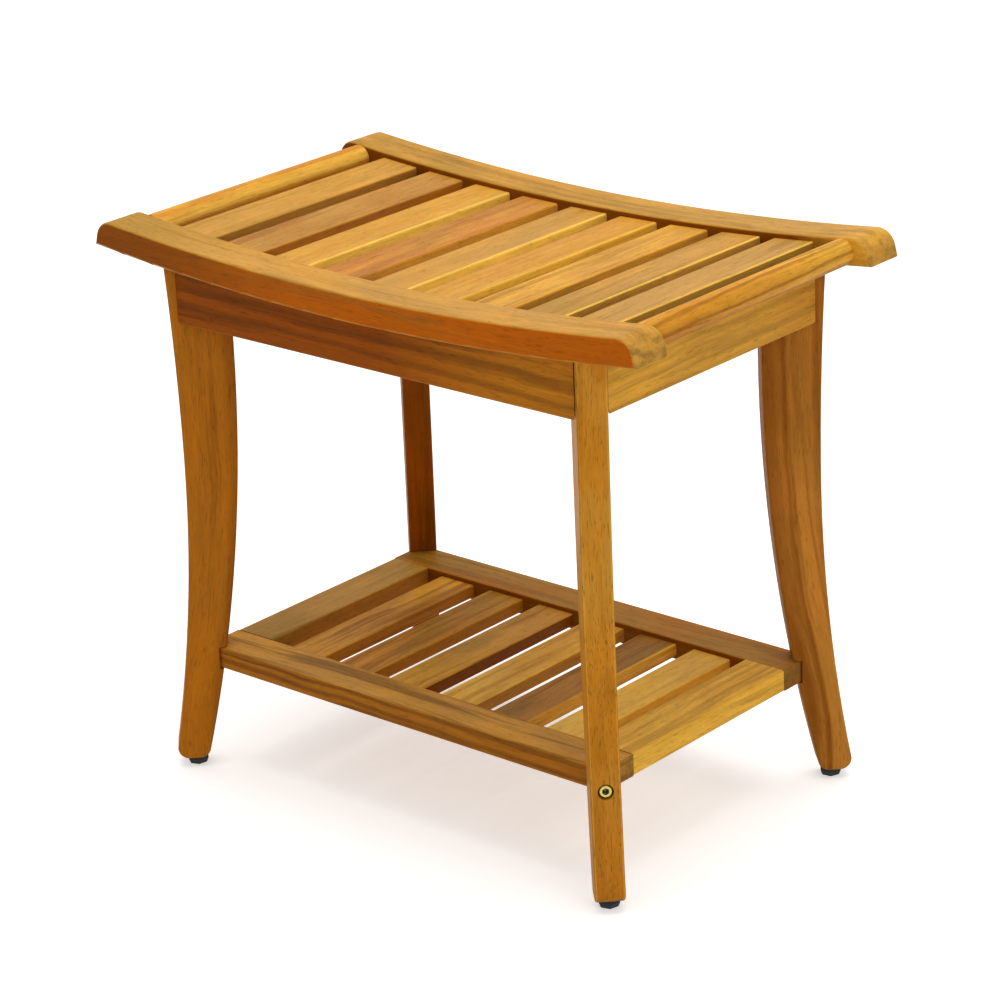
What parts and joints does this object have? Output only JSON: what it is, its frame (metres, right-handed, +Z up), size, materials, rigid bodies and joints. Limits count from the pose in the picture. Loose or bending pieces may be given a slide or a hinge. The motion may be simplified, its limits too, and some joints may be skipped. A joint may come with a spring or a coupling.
{
  "type": "shower bench",
  "caption": "Slatted hardwood shower bench with a saddle-curved seat, round end bars as handles, sabre legs set on the diagonals, a slatted shelf and screw-in levelling feet",
  "frame": {"origin": "on the floor under the middle of the bench", "axes": "+X along the seat to the right, +Y to the back, +Z up"},
  "size_m": [0.54, 0.3186, 0.457],
  "materials": {
    "rail_wood": "oiled satin",
    "slat_wood": "oiled satin",
    "bar_wood": "oiled satin",
    "apron_wood": "oiled satin",
    "leg_wood": "oiled satin",
    "shelf_wood": "oiled satin",
    "block_wood": "bare",
    "dowel_wood": "bare",
    "shelf_bolt_metal": "yellow passivated",
    "insert_metal": "machined",
    "fastener_metal": "zinc plated",
    "foot_plastic": "glossy moulded",
    "stem_metal": "zinc plated"
  },
  "bodies": {
    "bench": {"seat_rail_front": "rail_wood", "seat_rail_back": "rail_wood", "seat_slat_1": "slat_wood", "seat_slat_2": "slat_wood", "seat_slat_3": "slat_wood", "seat_slat_4": "slat_wood", "seat_slat_5": "slat_wood", "seat_slat_6": "slat_wood", "seat_slat_7": "slat_wood", "seat_slat_8": "slat_wood", "seat_slat_9": "slat_wood", "end_bar_left": "bar_wood", "end_bar_right": "bar_wood", "apron_front": "apron_wood", "apron_back": "apron_wood", "apron_left": "apron_wood", "apron_right": "apron_wood", "apron_dowels": "dowel_wood", "leg_front_left": "leg_wood", "leg_front_right": "leg_wood", "leg_back_left": "leg_wood", "leg_back_right": "leg_wood", "corner_block_front_left": "block_wood", "corner_block_front_right": "block_wood", "corner_block_back_left": "block_wood", "corner_block_back_right": "block_wood", "corner_block_screws": "fastener_metal", "leg_bolts": "fastener_metal", "leg_bolt_washers": "fastener_metal", "leg_inserts": "insert_metal", "shelf_rail_front": "shelf_wood", "shelf_rail_back": "shelf_wood", "shelf_rail_left": "shelf_wood", "shelf_rail_right": "shelf_wood", "shelf_slat_1": "shelf_wood", "shelf_slat_2": "shelf_wood", "shelf_slat_3": "shelf_wood", "shelf_slat_4": "shelf_wood", "shelf_slat_5": "shelf_wood", "shelf_slat_6": "shelf_wood", "shelf_bolts": "shelf_bolt_metal", "shelf_inserts": "insert_metal", "foot_inserts": "insert_metal"},
    "foot_front_left": {"foot_pad_front_left": "foot_plastic", "foot_stem_front_left": "stem_metal"},
    "foot_front_right": {"foot_pad_front_right": "foot_plastic", "foot_stem_front_right": "stem_metal"},
    "foot_back_left": {"foot_pad_back_left": "foot_plastic", "foot_stem_back_left": "stem_metal"},
    "foot_back_right": {"foot_pad_back_right": "foot_plastic", "foot_stem_back_right": "stem_metal"}
  },
  "joints": [
    {"name": "foot_screw_front_left", "type": "slide", "parent": "bench", "child": "foot_front_left", "axis": [0, 0, -1], "range_m": [0, 0.008]},
    {"name": "foot_screw_front_right", "type": "slide", "parent": "bench", "child": "foot_front_right", "axis": [0, 0, -1], "range_m": [0, 0.008]},
    {"name": "foot_screw_back_left", "type": "slide", "parent": "bench", "child": "foot_back_left", "axis": [0, 0, -1], "range_m": [0, 0.008]},
    {"name": "foot_screw_back_right", "type": "slide", "parent": "bench", "child": "foot_back_right", "axis": [0, 0, -1], "range_m": [0, 0.008]}
  ]
}
